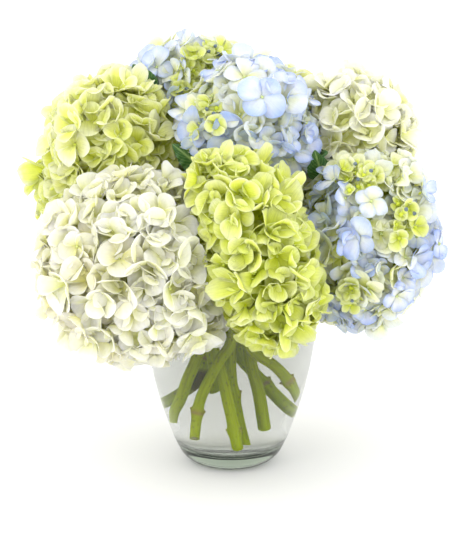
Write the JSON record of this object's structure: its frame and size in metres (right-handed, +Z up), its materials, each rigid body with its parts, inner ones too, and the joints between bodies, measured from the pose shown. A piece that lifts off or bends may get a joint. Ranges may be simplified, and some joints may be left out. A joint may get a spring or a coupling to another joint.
{
  "type": "hydrangea bouquet in glass vase",
  "caption": "Round bouquet of mixed green, white, blue and cream hydrangea heads on cut stems, standing in a clear bulging glass vase filled with water.",
  "frame": {"origin": "centre of the vase's flat foot, where it stands", "axes": "+Z up along the vase's axis, -Y towards the side that the picture shows, +X to its right"},
  "size_m": [0.3871, 0.3402, 0.4001],
  "materials": {
    "glass": "polished, clear, faintly green",
    "water": "clear liquid",
    "petals_lime": "soft petal, lime green",
    "petals_white": "soft petal, creamy white",
    "petals_blue": "soft petal, periwinkle blue",
    "petals_cream": "soft petal, cream",
    "stem": "satin green stem",
    "leaf": "satin dark green leaf"
  },
  "bodies": {
    "root": {"vase": "glass", "water": "water", "head_lime_left": "petals_lime", "head_lime_far_left": "petals_lime", "head_lime_front": "petals_lime", "head_lime_rear_top": "petals_lime", "head_white_left": "petals_white", "head_white_rear": "petals_white", "head_blue_rear_top": "petals_blue", "head_blue_top": "petals_blue", "head_blue_right": "petals_blue", "head_cream_right": "petals_cream", "head_cream_rear": "petals_cream", "stem_lime_left": "stem", "stem_lime_far_left": "stem", "stem_lime_front": "stem", "stem_lime_rear_top": "stem", "stem_white_left": "stem", "stem_white_rear": "stem", "stem_blue_rear_top": "stem", "stem_blue_top": "stem", "stem_blue_right": "stem", "stem_cream_right": "stem", "stem_cream_rear": "stem", "leaf_left": "leaf", "leaf_right": "leaf", "leaf_rear": "leaf"}
  },
  "joints": []
}
